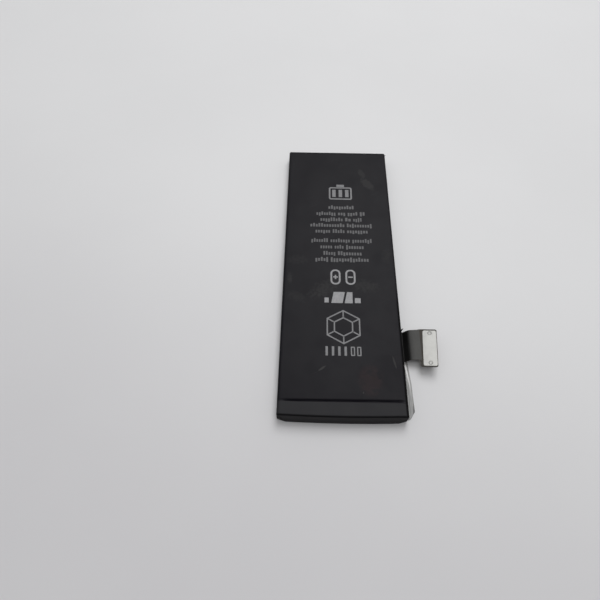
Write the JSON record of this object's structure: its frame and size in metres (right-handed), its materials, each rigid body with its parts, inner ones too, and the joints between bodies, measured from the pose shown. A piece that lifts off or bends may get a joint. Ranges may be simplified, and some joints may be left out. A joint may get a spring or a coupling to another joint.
{
  "type": "mobile phone battery",
  "caption": "Flat lithium pouch battery for a mobile phone: black film wrap, protection board in one end, side flex with a steel-backed plug and a clear pull tab.",
  "frame": {"origin": "on the lower face of the back adhesive sheet, midway along and across the film-wrapped pack", "axes": "+X towards the connector, +Y along the pack away from the protection board, +Z out of the label face"},
  "size_m": [0.0416, 0.0916, 0.0038],
  "materials": {
    "label_film": "black satin label film, lightly scuffed",
    "pouch_foil": "dull silver laminate foil",
    "aluminium_tab": "soft rolled aluminium",
    "nickel": "rolled nickel with weld marks",
    "seal_film": "milky heat-seal film",
    "foam": "closed-cell black foam",
    "board": "green solder mask over glass laminate",
    "chip_resin": "black moulding resin",
    "chip_ceramic": "fired ceramic with tinned ends",
    "polyimide": "amber insulating film",
    "flex_film": "dark cover film over copper",
    "plate_steel": "fine satin stainless steel",
    "plug_resin": "black moulding resin",
    "gold": "gold plating",
    "adhesive": "black double-sided tape",
    "clear_film": "clear frosted film",
    "clear_adhesive": "clear adhesive layer"
  },
  "bodies": {
    "root": {"label_wrap": "label_film", "pouch_cell": "pouch_foil", "positive_tab": "aluminium_tab", "negative_tab": "nickel", "positive_tab_seal": "seal_film", "negative_tab_seal": "seal_film", "positive_weld_plate": "nickel", "negative_weld_plate": "nickel", "board_pad": "foam", "protection_board": "board", "gauge_chip": "chip_resin", "protection_chip": "chip_resin", "switch_chip": "chip_resin", "sense_resistor": "chip_ceramic", "thermistor": "chip_ceramic", "capacitor_1": "chip_ceramic", "capacitor_2": "chip_ceramic", "board_tape": "polyimide", "flex_cable": "flex_film", "stiffener_plate": "plate_steel", "connector_housing": "plug_resin", "adhesive_sheet": "adhesive", "pull_tab": "clear_film", "pull_tape": "clear_adhesive", "power_contact_far_right": "gold", "power_contact_near_right": "gold", "signal_contact_1_right": "gold", "signal_contact_2_right": "gold", "power_contact_far_left": "gold", "power_contact_near_left": "gold", "signal_contact_1_left": "gold", "signal_contact_2_left": "gold"}
  },
  "joints": []
}
